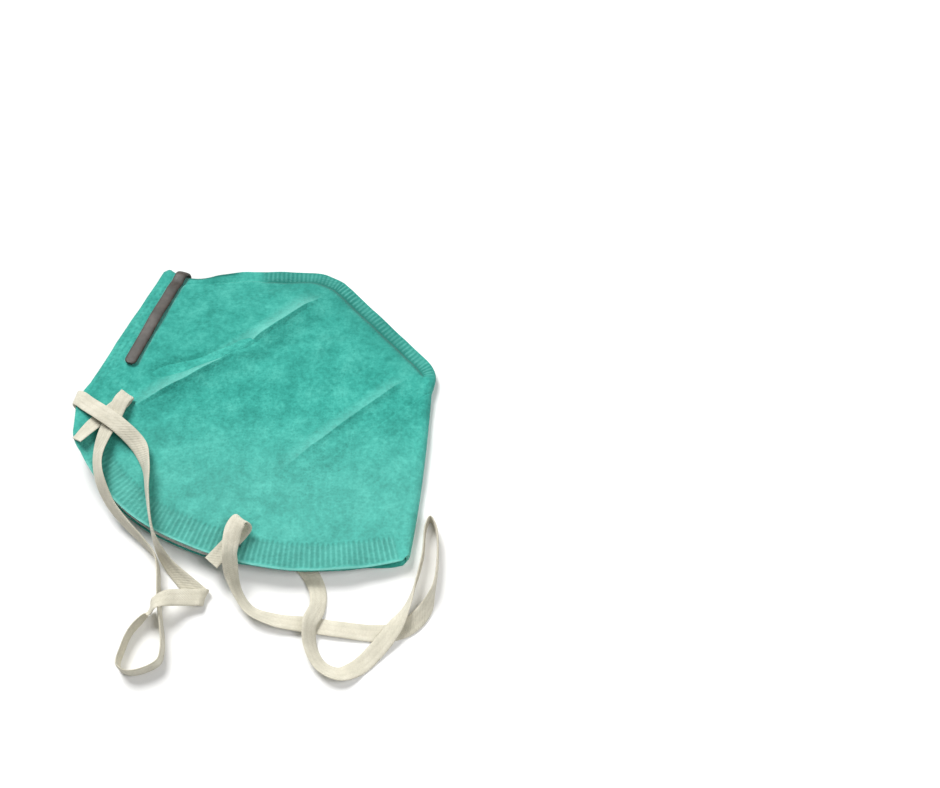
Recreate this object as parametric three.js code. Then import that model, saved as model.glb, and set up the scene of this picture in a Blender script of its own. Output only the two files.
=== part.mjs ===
import * as THREE from 'three';

// A flat-folded respirator mask, lying on one of its two halves. Millimetres, +Z up.
// The closed front of the fold is at +X, the open face edge at -X, the nose at +Y and the chin at -Y.

// Cloth
const CLOTH = 1.0;
const LAYER_GAP = 0.4;
const FOLD_HALF = 2.6;
const FOLD_DEPTH = 4.0;
const WELD_WIDTH = 5.0;
const WELD_HALF = 0.6;
const WELD_ROOT = 1.0;
const WELD_EDGE = 0.25;
const WELD_RISE = 1.5;
const WELD_SHOULDER = 0.8;
const LIFT_FROM = 0.35;
const LIFT_TO = 0.9;
const CREASE_HEIGHT = 1.5;
const CREASE_RISE_ROWS = 0.14;
const CREASE_FALL_ROWS = 0.1;
const CREASE_START = 0.12;

// Nose clip
const CLIP_WIDTH = 4.6;
const CLIP_THICK = 0.9;
const CLIP_GAP = 0.7;
const CLIP_TIP_FLAT = 0.4;
const CLIP_TIP = new THREE.Vector2(-47.4, 14.7);
const CLIP_BEND = new THREE.Vector2(-34.6, 57.2);
const CLIP_BEND_REACH = 0.94;

// Elastic straps and their staples
const STRAP_WIDTH = 6.0;
const STRAP_THICK = 0.8;
const STRAP_CLEAR = 0.6;
const FLOOR_CLEAR = 0.25;
const STAPLE_CROWN = 7.8;
const STAPLE_WIRE = 0.5;
const STAPLE_LEG = 0.9;
const STAPLE_CLEAR = 0.5;

// Mesh steps
const PANEL_ROWS = [14, 12, 14];
const FOLD_STEPS = 4;
const HALF_STEPS = 6;
const CLIP_LEG_STEPS = 9;
const CLIP_BEND_STEPS = 8;
const CLIP_TIP_CROWDING = 1.5;
const STRAP_STEPS_PER_SPAN = 2;
const LOCATE_STEPS = 40;
const MOST_REACH = 0.55;
const MOST_SLANT = 2.2;

const { lerp, smoothstep, degToRad } = THREE.MathUtils;

// Both edges of the folded mask seen from above, from the nose to the chin.
function makeFrontEdge() {
  const edge = new THREE.Path();
  edge.moveTo(-38.8, 61.9);
  edge.quadraticCurveTo(-31.0, 56.0, -20.0, 60.0);
  edge.quadraticCurveTo(-13.4, 62.4, -2.0, 62.5);
  edge.lineTo(14.0, 62.6);
  edge.quadraticCurveTo(22.5, 62.4, 29.0, 57.6);
  edge.lineTo(60.6, 23.8);
  edge.quadraticCurveTo(66.2, 18.0, 65.0, 13.0);
  edge.quadraticCurveTo(64.4, 10.0, 63.7, 8.0);
  edge.quadraticCurveTo(61.6, -30.0, 57.2, -56.0);
  return edge;
}

function makeFaceEdge() {
  const edge = new THREE.Path();
  edge.moveTo(-41.6, 60.0);
  edge.lineTo(-61.4, 7.6);
  edge.quadraticCurveTo(-64.8, 2.0, -65.0, -2.0);
  edge.lineTo(-64.6, -12.0);
  edge.quadraticCurveTo(-64.0, -16.5, -61.0, -20.0);
  edge.quadraticCurveTo(-50.0, -39.6, -31.3, -49.6);
  edge.quadraticCurveTo(-2.0, -64.0, 22.0, -63.5);
  edge.quadraticCurveTo(40.0, -63.2, 54.6, -59.0);
  return edge;
}

const frontEdge = makeFrontEdge();
const faceEdge = makeFaceEdge();

// Rows run across the mask from the front edge to the face edge. Rows 1 and 2 are the two packing creases,
// and the shares say how far along each edge a row meets it.
const CORNERS = [
  { row: 0, front: 0.0, face: 0.0 },
  { row: 1, front: 0.358, face: 0.353 },
  { row: 2, front: 0.63, face: 0.626 },
  { row: 3, front: 1.0, face: 1.0 },
];

// Heights across the mask, a line for each section: how far the front and the face edge of the lower half
// are lifted off the surface, how high the open edge stands, how much the middle swells, and how much of the
// front is welded flat.
const SECTIONS = [
  { row: 0.0, frontLift: 2.0, faceLift: 2.0, faceHeight: 5.2, bulge: 0.0, weld: 0 },
  { row: 0.25, frontLift: 2.0, faceLift: 2.1, faceHeight: 6.7, bulge: 0.9, weld: 0 },
  { row: 0.5, frontLift: 0.9, faceLift: 2.3, faceHeight: 8.4, bulge: 2.3, weld: 0.7 },
  { row: 0.85, frontLift: 0.0, faceLift: 2.5, faceHeight: 9.6, bulge: 3.6, weld: 1 },
  { row: 1.15, frontLift: 0.0, faceLift: 2.5, faceHeight: 9.3, bulge: 4.0, weld: 1 },
  { row: 1.88, frontLift: 0.0, faceLift: 2.5, faceHeight: 7.0, bulge: 3.8, weld: 1 },
  { row: 2.05, frontLift: 0.0, faceLift: 2.5, faceHeight: 6.3, bulge: 3.3, weld: 0 },
  { row: 2.25, frontLift: 0.0, faceLift: 2.5, faceHeight: 5.8, bulge: 2.5, weld: 0 },
  { row: 2.65, frontLift: 0.0, faceLift: 1.8, faceHeight: 5.2, bulge: 1.3, weld: 0 },
  { row: 3.0, frontLift: 0.0, faceLift: 0.0, faceHeight: 5.2, bulge: 0.0, weld: 0 },
];

function span(table, row) {
  const next = Math.max(1, table.findIndex((line) => line.row >= row));
  return [table[next - 1], table[next]];
}

function along(row, name) {
  const [a, b] = span(CORNERS, row);
  return lerp(a[name], b[name], (row - a.row) / (b.row - a.row));
}

function column(row, name) {
  const [a, b] = span(SECTIONS, row);
  return lerp(a[name], b[name], smoothstep(row, a.row, b.row));
}

// A row seen from above. Its slant is how much longer a distance gets along a row that meets the front edge
// askew, and its reach is where the round front of the fold ends.
function planRow(row) {
  const front = frontEdge.getPointAt(along(row, 'front'));
  const face = faceEdge.getPointAt(along(row, 'face'));
  const length = front.distanceTo(face);
  const edge = frontEdge.getTangentAt(along(row, 'front'));
  const askew = Math.abs(edge.cross(face.clone().sub(front))) / length;
  const slant = Math.min(1 / askew, MOST_SLANT);
  const reach = Math.min((FOLD_DEPTH + column(row, 'weld') * WELD_WIDTH) * slant, MOST_REACH * length);
  return { front, face, length, slant, reach };
}

// Height of the lower half's under side, and of the fold above it, at a share of the way to the face edge.
function liftAt(row, share) {
  return lerp(column(row, 'frontLift'), column(row, 'faceLift'), smoothstep(share, LIFT_FROM, LIFT_TO));
}

function thicknessAt(row, share) {
  const swell = 4 * share * (1 - share) * column(row, 'bulge');
  return lerp(2 * FOLD_HALF, column(row, 'faceHeight'), share) + swell;
}

// Each packing crease is a low ridge, a little steeper on the side after it. It starts behind the
// front fold and dies out on its way to the face edge.
const CREASES = [
  { row: 1, fadeFrom: 0.65, fadeTo: 0.85 },
  { row: 2, fadeFrom: 0.4, fadeTo: 0.65 },
];

function creaseAt(row, share) {
  const ridges = CREASES.map((crease) => {
    const past = row - crease.row;
    const slope = past < 0 ? -past / CREASE_RISE_ROWS : past / CREASE_FALL_ROWS;
    return Math.max(0, 1 - slope) * (1 - smoothstep(share, crease.fadeFrom, crease.fadeTo));
  });
  return CREASE_HEIGHT * smoothstep(share, 0, CREASE_START) * Math.max(...ridges);
}

// Point k of the round front of the fold: its distance from the front edge, and its height off the middle.
// Only the outer skin of a welded stretch runs out into the flat lip; the inner skins stop behind its root.
function foldPoint(k, depth, weld, reach) {
  const start = depth > 0 ? depth + weld * (WELD_WIDTH + WELD_ROOT) : 0;
  const angle = (k / FOLD_STEPS) * (Math.PI / 2);
  const round = { q: lerp(start, reach, 1 - Math.cos(angle)), h: (FOLD_HALF - depth) * Math.sin(angle) };
  if (depth > 0) return round;
  const lip = [
    { q: 0, h: 0 },
    { q: WELD_EDGE, h: WELD_HALF },
    { q: WELD_WIDTH, h: WELD_HALF },
    { q: WELD_WIDTH + WELD_RISE, h: WELD_SHOULDER * FOLD_HALF },
    { q: reach, h: FOLD_HALF },
  ][k];
  return { q: lerp(round.q, lip.q, weld), h: lerp(round.h, lip.h, weld) };
}

// One row of a skin at a depth inside the outer face, from the lower open edge round to the upper one.
function skinRow(row, depth) {
  const { front, face, length, slant, reach } = planRow(row);
  const weld = column(row, 'weld');
  const middle = liftAt(row, 0) + FOLD_HALF;
  const place = (q, z) => {
    const spot = front.clone().lerp(face, q / length);
    return new THREE.Vector3(spot.x, spot.y, z);
  };
  const lower = [];
  const upper = [];
  for (let k = 1; k <= FOLD_STEPS; k += 1) {
    const { q, h } = foldPoint(k, depth, weld, reach / slant);
    lower.push(place(q * slant, middle - h));
    upper.push(place(q * slant, middle + h));
  }
  for (let k = 1; k <= HALF_STEPS; k += 1) {
    const share = k / HALF_STEPS;
    const q = lerp(reach, length, share);
    const floor = liftAt(row, share);
    lower.push(place(q, floor + depth));
    upper.push(place(q, floor + thicknessAt(row, share) + creaseAt(row, share) - depth));
  }
  const tip = place(foldPoint(0, depth, weld, reach / slant).q * slant, middle);
  return [...lower.reverse(), tip, ...upper];
}

function solidFrom(points, triangles) {
  const geometry = new THREE.BufferGeometry();
  geometry.setAttribute('position', new THREE.Float32BufferAttribute(points.flatMap((p) => p.toArray()), 3));
  geometry.setIndex(triangles.flat());
  geometry.computeVertexNormals();
  return geometry;
}

// A cloth wall between two skins, closed along its open edges and at its two ends.
function clothWall(rows, outerDepth, innerDepth) {
  const outer = rows.map((row) => skinRow(row, outerDepth));
  const inner = rows.map((row) => skinRow(row, innerDepth));
  const across = outer[0].length;
  const count = rows.length * across;
  const points = [...outer.flat(), ...inner.flat()];
  const at = (i, j, skin) => skin * count + i * across + j;
  const triangles = [];
  const quad = (a, b, c, d) => triangles.push([a, c, b], [a, d, c]);
  for (let i = 0; i + 1 < rows.length; i += 1) {
    for (let j = 0; j + 1 < across; j += 1) {
      quad(at(i, j, 0), at(i + 1, j, 0), at(i + 1, j + 1, 0), at(i, j + 1, 0));
      quad(at(i, j, 1), at(i, j + 1, 1), at(i + 1, j + 1, 1), at(i + 1, j, 1));
    }
    const far = across - 1;
    quad(at(i, 0, 0), at(i, 0, 1), at(i + 1, 0, 1), at(i + 1, 0, 0));
    quad(at(i, far, 0), at(i + 1, far, 0), at(i + 1, far, 1), at(i, far, 1));
  }
  const end = rows.length - 1;
  for (let j = 0; j + 1 < across; j += 1) {
    quad(at(0, j, 0), at(0, j + 1, 0), at(0, j + 1, 1), at(0, j, 1));
    quad(at(end, j, 0), at(end, j, 1), at(end, j + 1, 1), at(end, j + 1, 0));
  }
  return solidFrom(points, triangles);
}

// Where a point seen from above lies on the mask: its row, and its share of the way to the face edge.
function locate(x, y) {
  let low = 0;
  let high = CORNERS.at(-1).row;
  for (let i = 0; i < LOCATE_STEPS; i += 1) {
    const { front, face } = planRow((low + high) / 2);
    const side = (face.x - front.x) * (y - front.y) - (face.y - front.y) * (x - front.x);
    if (side > 0) low = (low + high) / 2;
    else high = (low + high) / 2;
  }
  const { front, face, length, reach } = planRow(low);
  const q = new THREE.Vector2(x, y).sub(front).dot(face.clone().sub(front)) / length;
  return { row: low, share: THREE.MathUtils.clamp((q - reach) / (length - reach), 0, 1) };
}

function topAt(x, y) {
  const { row, share } = locate(x, y);
  return liftAt(row, share) + thicknessAt(row, share) + creaseAt(row, share);
}

function undersideAt(x, y) {
  const { row, share } = locate(x, y);
  return liftAt(row, share);
}

// The section of a flat strip with chamfered edges, in halves of its width and of its thickness.
const CHAMFER_IN = 0.92;
const CHAMFER_DOWN = 0.5;
const STRIP_SECTION = [
  { across: 1, up: -CHAMFER_DOWN },
  { across: 1, up: CHAMFER_DOWN },
  { across: CHAMFER_IN, up: 1 },
  { across: -CHAMFER_IN, up: 1 },
  { across: -1, up: CHAMFER_DOWN },
  { across: -1, up: -CHAMFER_DOWN },
  { across: -CHAMFER_IN, up: -1 },
  { across: CHAMFER_IN, up: -1 },
];

// A flat strip through stations that each give a point, the direction of the width, and the width.
function strip(stations, thick) {
  const sides = STRIP_SECTION.length;
  const last = stations.length - 1;
  const points = stations.flatMap(({ point, side, width }, i) => {
    const next = stations[Math.min(i + 1, last)].point;
    const before = stations[Math.max(i - 1, 0)].point;
    const ahead = next.clone().sub(before).normalize();
    const flat = side.clone().addScaledVector(ahead, -side.dot(ahead)).normalize();
    const up = new THREE.Vector3().crossVectors(ahead, flat);
    return STRIP_SECTION.map((corner) => point.clone()
      .addScaledVector(flat, (corner.across * width) / 2)
      .addScaledVector(up, (corner.up * thick) / 2));
  });
  const triangles = [];
  for (let i = 0; i < last; i += 1) {
    for (let j = 0; j < sides; j += 1) {
      const a = i * sides + j;
      const b = i * sides + ((j + 1) % sides);
      triangles.push([a, b, b + sides], [a, b + sides, a + sides]);
    }
  }
  for (let j = 1; j + 1 < sides; j += 1) {
    const tail = last * sides;
    triangles.push([0, j + 1, j], [tail, tail + j, tail + j + 1]);
  }
  return solidFrom(points, triangles);
}

// The clip: a leg on each half and a round bend over the nose bridge, with rounded leg ends.
function clipStations() {
  const side = CLIP_BEND.clone().sub(CLIP_TIP).normalize();
  const width = new THREE.Vector3(side.y, -side.x, 0);
  const stand = CLIP_GAP + CLIP_THICK / 2;
  const leg = (height) => {
    const stations = [];
    for (let i = 0; i <= CLIP_LEG_STEPS; i += 1) {
      const spot = CLIP_TIP.clone().lerp(CLIP_BEND, (i / CLIP_LEG_STEPS) ** CLIP_TIP_CROWDING);
      const fromTip = spot.distanceTo(CLIP_TIP);
      const narrow = Math.max(0, 1 - (fromTip + CLIP_TIP_FLAT) / (CLIP_WIDTH / 2));
      const wide = CLIP_WIDTH * Math.sqrt(1 - narrow ** 2);
      stations.push({ point: new THREE.Vector3(spot.x, spot.y, height(spot)), side: width, width: wide });
    }
    return stations;
  };
  const lower = leg((spot) => undersideAt(spot.x, spot.y) - stand);
  const upper = leg((spot) => topAt(spot.x, spot.y) + stand);
  const bottom = lower.at(-1).point.z;
  const top = upper.at(-1).point.z;
  const bend = [];
  for (let i = 1; i < CLIP_BEND_STEPS; i += 1) {
    const angle = Math.PI * (i / CLIP_BEND_STEPS);
    const out = CLIP_BEND_REACH * ((top - bottom) / 2) * Math.sin(angle);
    const spot = CLIP_BEND.clone().addScaledVector(side, out);
    const z = (top + bottom) / 2 - ((top - bottom) / 2) * Math.cos(angle);
    bend.push({ point: new THREE.Vector3(spot.x, spot.y, z), side: width, width: CLIP_WIDTH });
  }
  return [...lower, ...bend, ...upper.reverse()];
}

// Strap routes. Each line gives a point seen from above, what the strap is over (or under), how clear of it
// the strap is, and the heading and the lean of the strap's width, in degrees:
// x, y, over, clear, heading, lean
const UPPER_STRAP = [
  [-62.0, -16.9, 'cloth', STRAP_CLEAR, 144, -32],
  [-57.0, -10.4, 'cloth', STRAP_CLEAR, 141, -12],
  [-52.0, -5.6, 'cloth', STRAP_CLEAR, 140, 0],
  [-47.6, -1.2, 'cloth', STRAP_CLEAR, 141, 0],
  [-45.9, 0.7, 'cloth', 1.9, 144, 0],
  [-47.2, -1.8, 'cloth', 3.2, 151, 0],
  [-49.6, -9.0, 'cloth', 3.0, 158, 0],
  [-52.3, -16.6, 'cloth', 1.7, 166, -22],
  [-53.4, -23.5, 'cloth', 0.6, 180, -42],
  [-52.2, -30.5, 'cloth', 0.5, 200, -52],
  [-48.6, -38.7, 'floor', 6.6, 213, -62],
  [-42.6, -45.6, 'floor', 3.4, 217, -70],
  [-36.0, -51.8, 'floor', 1.0, 220, -78],
  [-31.2, -57.6, 'floor', 0.3, 215, -86],
  [-28.4, -73.0, 'floor', 0.3, 180, -90],
  [-25.2, -90.5, 'floor', 0.3, 190, -90],
  [-26.2, -94.6, 'floor', 0.3, 230, -90],
  [-35.2, -98.0, 'floor', 0.3, 270, -90],
  [-39.2, -95.8, 'floor', 0.3, 150, -90],
  [-38.4, -89.0, 'floor', 0.3, 160, -90],
  [-36.8, -84.0, 'floor', 0.3, 150, -90],
  [-33.8, -79.8, 'floor', 0.3, 140, -90],
  [-31.2, -77.0, 'floor', 0.8, 136, -72],
  [-28.8, -75.0, 'floor', 5.6, 122, -34],
  [-25.6, -73.6, 'floor', 6.8, 104, -8],
  [-21.6, -72.4, 'floor', 5.0, 92, 0],
  [-16.4, -71.8, 'floor', 3.2, 84, 0],
  [-14.4, -71.6, 'floor', 2.8, 76, 0],
  [-13.2, -71.2, 'floor', 1.6, 70, 0],
  [-14.4, -70.4, 'floor', 0.5, 64, 0],
  [-17.4, -68.2, 'floor', 0.3, 56, 12],
  [-22.4, -64.0, 'floor', 0.3, 50, 38],
  [-27.4, -58.8, 'floor', 1.6, 40, 60],
  [-30.4, -53.4, 'floor', 7.0, 26, 76],
  [-31.8, -49.2, 'cloth', 0.6, 18, 80],
  [-34.4, -37.0, 'cloth', 0.5, 10, 70],
  [-35.8, -27.6, 'cloth', 0.5, 20, 54],
  [-39.4, -19.4, 'cloth', 0.8, 42, 18],
  [-46.8, -12.6, 'cloth', 4.4, 57, 0],
  [-53.6, -7.6, 'cloth', 4.4, 53, 0],
  [-60.2, -2.2, 'cloth', 1.2, 52, 0],
  [-63.6, 0.4, 'floor', 13.2, 62, 0],
  [-65.8, 1.6, 'floor', 11.2, 78, 0],
  [-65.8, 1.6, 'floor', 6.4, 82, 0],
  [-65.6, 1.5, 'floor', 2.2, 78, 0],
  [-63.6, 0.4, 'floor', 0.6, 62, 0],
  [-58.6, -3.4, 'under', STRAP_CLEAR, 52, 0],
  [-51.5, -9.0, 'under', STRAP_CLEAR, 52, 0],
];

const LOWER_STRAP = [
  [-10.6, -61.5, 'cloth', STRAP_CLEAR, 139, 0],
  [-4.6, -54.6, 'cloth', 0.8, 139, 0],
  [-1.2, -50.6, 'cloth', 0.8, 140, 0],
  [0.6, -48.6, 'cloth', 2.8, 142, 0],
  [-0.8, -47.8, 'cloth', 4.8, 148, 0],
  [-2.6, -50.6, 'cloth', 4.9, 160, 8],
  [-3.5, -55.4, 'cloth', 3.8, 171, 28],
  [-3.7, -60.4, 'cloth', 2.6, 182, 48],
  [-3.2, -66.0, 'floor', 4.2, 194, 56],
  [-0.9, -71.4, 'floor', 0.8, 214, 58],
  [3.2, -76.2, 'floor', 0.3, 235, 47],
  [11.5, -79.3, 'floor', 0.2, 250, 28],
  [22.0, -80.7, 'floor', 0.2, 259, 12],
  [34.0, -82.4, 'floor', 0.2, 261, 10],
  [45.6, -83.6, 'floor', 0.2, 266, 0],
  [55.2, -82.4, 'floor', 0.2, 292, -4],
  [62.2, -76.6, 'floor', 0.3, 325, -40],
  [65.6, -68.0, 'floor', 0.3, 347, -85],
  [66.8, -57.0, 'floor', 0.3, 356, -90],
  [66.0, -46.0, 'floor', 0.3, 10, -90],
  [64.0, -42.6, 'floor', 0.3, 90, -90],
  [62.4, -46.0, 'floor', 0.3, 172, -90],
  [61.6, -56.0, 'floor', 0.3, 172, -90],
  [59.4, -66.0, 'floor', 0.3, 165, -86],
  [56.4, -75.2, 'floor', 0.6, 155, -60],
  [51.8, -83.0, 'floor', 1.7, 148, -10],
  [46.6, -89.6, 'floor', 0.8, 142, 5],
  [40.8, -95.2, 'floor', 0.3, 130, 0],
  [34.4, -98.0, 'floor', 0.3, 95, -28],
  [28.2, -95.4, 'floor', 0.3, 50, -42],
  [24.4, -89.0, 'floor', 0.6, 18, -46],
  [23.8, -81.6, 'floor', 2.7, 0, -42],
  [25.8, -75.4, 'floor', 0.8, -6, -32],
  [25.6, -69.4, 'floor', 0.3, 12, -16],
  [23.0, -63.4, 'floor', 0.3, 28, 0],
  [17.4, -57.2, 'under', STRAP_CLEAR, 48, 0],
  [7.0, -52.8, 'under', STRAP_CLEAR, 72, 0],
  [-5.5, -51.0, 'under', STRAP_CLEAR, 78, 0],
];

function halfHeight(rise) {
  return (STRAP_WIDTH / 2) * Math.abs(rise) + (STRAP_THICK / 2) * Math.sqrt(1 - rise ** 2);
}

function strapHeight(x, y, over, clear, lean) {
  const half = halfHeight(Math.sin(lean));
  if (over === 'cloth') return topAt(x, y) + clear + half;
  if (over === 'under') return undersideAt(x, y) - clear - half;
  return clear + half;
}

function strapStations(route) {
  const points = [];
  const sides = [];
  for (const [x, y, over, clear, headingDegrees, leanDegrees] of route) {
    const heading = degToRad(headingDegrees);
    const lean = degToRad(leanDegrees);
    points.push(new THREE.Vector3(x, y, strapHeight(x, y, over, clear, lean)));
    const flat = Math.cos(lean);
    sides.push(new THREE.Vector3(flat * Math.cos(heading), flat * Math.sin(heading), Math.sin(lean)));
  }
  const path = new THREE.CatmullRomCurve3(points, false, 'centripetal');
  const turn = new THREE.CatmullRomCurve3(sides, false, 'catmullrom');
  const steps = (route.length - 1) * STRAP_STEPS_PER_SPAN;
  return Array.from({ length: steps + 1 }, (_, i) => {
    const point = path.getPoint(i / steps);
    const side = turn.getPoint(i / steps).normalize();
    point.z = Math.max(point.z, FLOOR_CLEAR + halfHeight(side.z));
    return { point, side, width: STRAP_WIDTH };
  });
}

// A wire staple: its crown lies across the strap, and its two legs go down beside it to the cloth.
function stapleGeometry() {
  const half = STAPLE_CROWN / 2;
  const inner = half - STAPLE_WIRE;
  const shape = new THREE.Shape();
  shape.moveTo(-half, -STAPLE_LEG);
  shape.lineTo(-inner, -STAPLE_LEG);
  shape.lineTo(-inner, 0);
  shape.lineTo(inner, 0);
  shape.lineTo(inner, -STAPLE_LEG);
  shape.lineTo(half, -STAPLE_LEG);
  shape.lineTo(half, STAPLE_WIRE);
  shape.lineTo(-half, STAPLE_WIRE);
  shape.closePath();
  const geometry = new THREE.ExtrudeGeometry(shape, { depth: STAPLE_WIRE, bevelEnabled: false });
  geometry.translate(0, 0, -STAPLE_WIRE / 2);
  geometry.rotateX(Math.PI / 2);
  return geometry;
}

// Each staple's place on its strap end, the heading of its crown, and the half of the mask that it is on.
const STAPLES = [
  { name: 'staple_upper_top', x: -52.9, y: -6.5, heading: 140, half: 'cloth' },
  { name: 'staple_upper_under', x: -55.4, y: -5.9, heading: 232, half: 'under' },
  { name: 'staple_lower_top', x: -3.6, y: -53.4, heading: 139, half: 'cloth' },
  { name: 'staple_lower_under', x: -0.6, y: -51.5, heading: 76, half: 'under' },
];

function stapleMesh({ name, x, y, heading, half }) {
  const mesh = new THREE.Mesh(stapleGeometry(), new THREE.MeshStandardMaterial(FINISH.steel));
  const strapFace = STRAP_CLEAR + STRAP_THICK + STAPLE_CLEAR;
  mesh.name = name;
  mesh.rotation.order = 'ZXY';
  mesh.rotation.z = degToRad(heading);
  mesh.position.set(x, y, topAt(x, y) + strapFace);
  if (half === 'under') {
    mesh.position.z = undersideAt(x, y) - strapFace;
    mesh.rotation.x = Math.PI;
  }
  return mesh;
}

const FINISH = {
  green: { color: 0x57c0b0, roughness: 0.85, metalness: 0 },
  white: { color: 0xeef0ec, roughness: 0.9, metalness: 0 },
  clip: { color: 0x5a564e, roughness: 0.5, metalness: 0 },
  elastic: { color: 0xe6dfca, roughness: 0.9, metalness: 0 },
  steel: { color: 0x8a8d90, roughness: 0.35, metalness: 1 },
};

function named(name, geometry, finish) {
  const mesh = new THREE.Mesh(geometry, new THREE.MeshStandardMaterial(finish));
  mesh.name = name;
  return mesh;
}

// Even rows across each panel, and one at the foot of each crease.
function allRows() {
  const rows = [0];
  PANEL_ROWS.forEach((steps, panel) => {
    for (let i = 1; i <= steps; i += 1) rows.push(panel + i / steps);
  });
  CREASES.forEach((crease) => rows.push(crease.row + CREASE_FALL_ROWS));
  return rows.sort((a, b) => a - b);
}

const rows = allRows();
const liningOuter = CLOTH + LAYER_GAP;
const mask = new THREE.Group();
mask.add(named('outer_shell', clothWall(rows, 0, CLOTH), FINISH.green));
mask.add(named('inner_lining', clothWall(rows.slice(1, -1), liningOuter, liningOuter + CLOTH), FINISH.white));
mask.add(named('nose_clip', strip(clipStations(), CLIP_THICK), FINISH.clip));
mask.add(named('upper_strap', strip(strapStations(UPPER_STRAP), STRAP_THICK), FINISH.elastic));
mask.add(named('lower_strap', strip(strapStations(LOWER_STRAP), STRAP_THICK), FINISH.elastic));
STAPLES.forEach((staple) => mask.add(stapleMesh(staple)));

export default mask;
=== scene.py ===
import math
from dataclasses import dataclass

import bpy
import numpy as np
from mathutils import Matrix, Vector


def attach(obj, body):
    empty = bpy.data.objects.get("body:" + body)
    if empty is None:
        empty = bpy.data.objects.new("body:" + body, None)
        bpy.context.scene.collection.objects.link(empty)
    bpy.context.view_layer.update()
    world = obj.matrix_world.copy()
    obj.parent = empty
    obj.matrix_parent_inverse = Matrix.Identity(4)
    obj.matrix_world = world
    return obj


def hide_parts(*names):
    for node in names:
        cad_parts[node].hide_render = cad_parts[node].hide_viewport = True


# A flat-folded respirator mask lying on one of its two halves, dressed on its solids. Metres, +Z up.
# The closed front of the fold is at +X, the open face edge at -X, the nose at +Y and the chin at -Y.
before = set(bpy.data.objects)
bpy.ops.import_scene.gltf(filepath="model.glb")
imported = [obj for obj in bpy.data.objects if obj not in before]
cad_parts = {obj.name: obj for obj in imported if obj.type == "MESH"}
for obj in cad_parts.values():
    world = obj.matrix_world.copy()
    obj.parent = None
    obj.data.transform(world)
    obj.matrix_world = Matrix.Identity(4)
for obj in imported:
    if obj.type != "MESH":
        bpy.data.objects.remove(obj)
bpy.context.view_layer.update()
BODY = "root"

# Camera
PHOTO_WIDTH = 940
PHOTO_FOCAL = 1250.0
SENSOR_WIDTH = 36.0
VIEW_TARGET = (0.0780, 0.0096, 0.0)
VIEW_ELEVATION = 61.0
VIEW_DISTANCE = 0.470
NEAREST_SEEN = 0.01

# Cloth, as in the solids
CLOTH = 0.0010
LAYER_GAP = 0.0004
FOLD_HALF = 0.0026
FOLD_DEPTH = 0.0040
WELD_WIDTH = 0.0050
WELD_HALF = 0.0006
WELD_ROOT = 0.0010
WELD_EDGE = 0.00025
WELD_RISE = 0.0015
LIFT_FROM = 0.35
LIFT_TO = 0.9
MOST_REACH = 0.55
MOST_SLANT = 2.2
CREASE_HEIGHT = 0.0015
CREASE_RISE_ROWS = 0.14
CREASE_FALL_ROWS = 0.10
CREASE_START = 0.12

# The cloth's own slopes: how it swells behind the weld, and how its creases rise, fall and drop
WELD_SWELL = 2.87
CREASE_RISE_POWER = 1.3
CREASE_FALL_POWER = 1.6
CREASE_DROP = 0.17

# Nose clip
CLIP_WIDTH = 0.0046
CLIP_THICK = 0.0009
CLIP_GAP = 0.0007
CLIP_TIP_FLAT = 0.0004
CLIP_TIP = np.array([-0.0474, 0.0147])
CLIP_BEND = np.array([-0.0346, 0.0572])
CLIP_BEND_REACH = 0.94
CLIP_SEAT = 0.0005
CLIP_BOXINESS = 2.2

# Elastic straps and their staples
STRAP_WIDTH = 0.0060
STRAP_THICK = 0.0008
STRAP_CLEAR = 0.0006
STRAP_BANDS = 3
STRAP_GROOVE = 0.16
STRAP_GROOVE_SHADE = 0.16
STRAP_GROOVE_SHARPNESS = 4
STRAP_EDGE_POWER = 6
STRAP_SETTLE = 0.0003
LEAST_CLEAR = {"cloth": 0.0002, "under": 0.0002, "floor": 0.00003}
STAPLE_CROWN = 0.0071
STAPLE_WIRE = 0.0005
STAPLE_SIT = 0.0001
STAPLE_BEND = 0.0005

# Embossed bands: a ladder of welds along the chin edge, a ribbed lip along the front seam, and dots along
# the nose. Shades and pales are how far a mark goes to the pressed and to the pale colour.
RIB_SHARPNESS = 2.0
LADDER_PITCH = 0.0019
LADDER_DEPTH = 0.00023
LADDER_WIDTH = 0.0085
LADDER_MARGIN = 0.0009
LADDER_SOFT = 0.0005
LADDER_FROM_TO = (0.090, 0.2155)
LADDER_END_SOFT = 0.0010
LADDER_SHADE = 0.48
LADDER_PALE = 0.14
BORDER_WIDTH = 0.0010
BORDER_SOFT = 0.0003
BORDER_DEPTH = 0.000184
BORDER_SHADE = 0.6
RIM_FROM_TO = (0.0004, 0.0009)
RIM_PALE = 0.35
LIP_PITCH = 0.0017
LIP_DEPTH = 0.00015
LIP_MARGIN = 0.0006
LIP_SOFT = 0.0004
LIP_FROM_TO = (0.0375, 0.127)
SEAM_END_SOFT = 0.0030
LIP_SHADE = 0.30
LIP_PALE = 0.20
# A painted shadow: a dark line painted along the nose's top edge beside the clip
NOSE_EDGE_SHADOW_FROM_TO = (0.0075, 0.0270)
NOSE_EDGE_SHADOW_WIDTH = 0.0020
NOSE_EDGE_SHADOW_SHADE = 0.9
VALLEY_BEHIND = 0.0002
VALLEY_DEPTH = 0.00020
VALLEY_WIDTH = 0.0012
VALLEY_SHADE = 0.6
DOT_PITCH = 0.0022
DOT_DEPTH = 0.00012
DOT_BAND = (0.0012, 0.0066)
DOT_SOFT = 0.0006
DOT_FROM_TO = (0.0060, 0.060)
DOT_END_SOFT = 0.0020
DOT_SHADE = 0.5
CLIP_RIM = 0.0007
CLIP_RIM_SOFT = 0.0003
CLIP_RIM_PALE = 0.4
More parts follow.
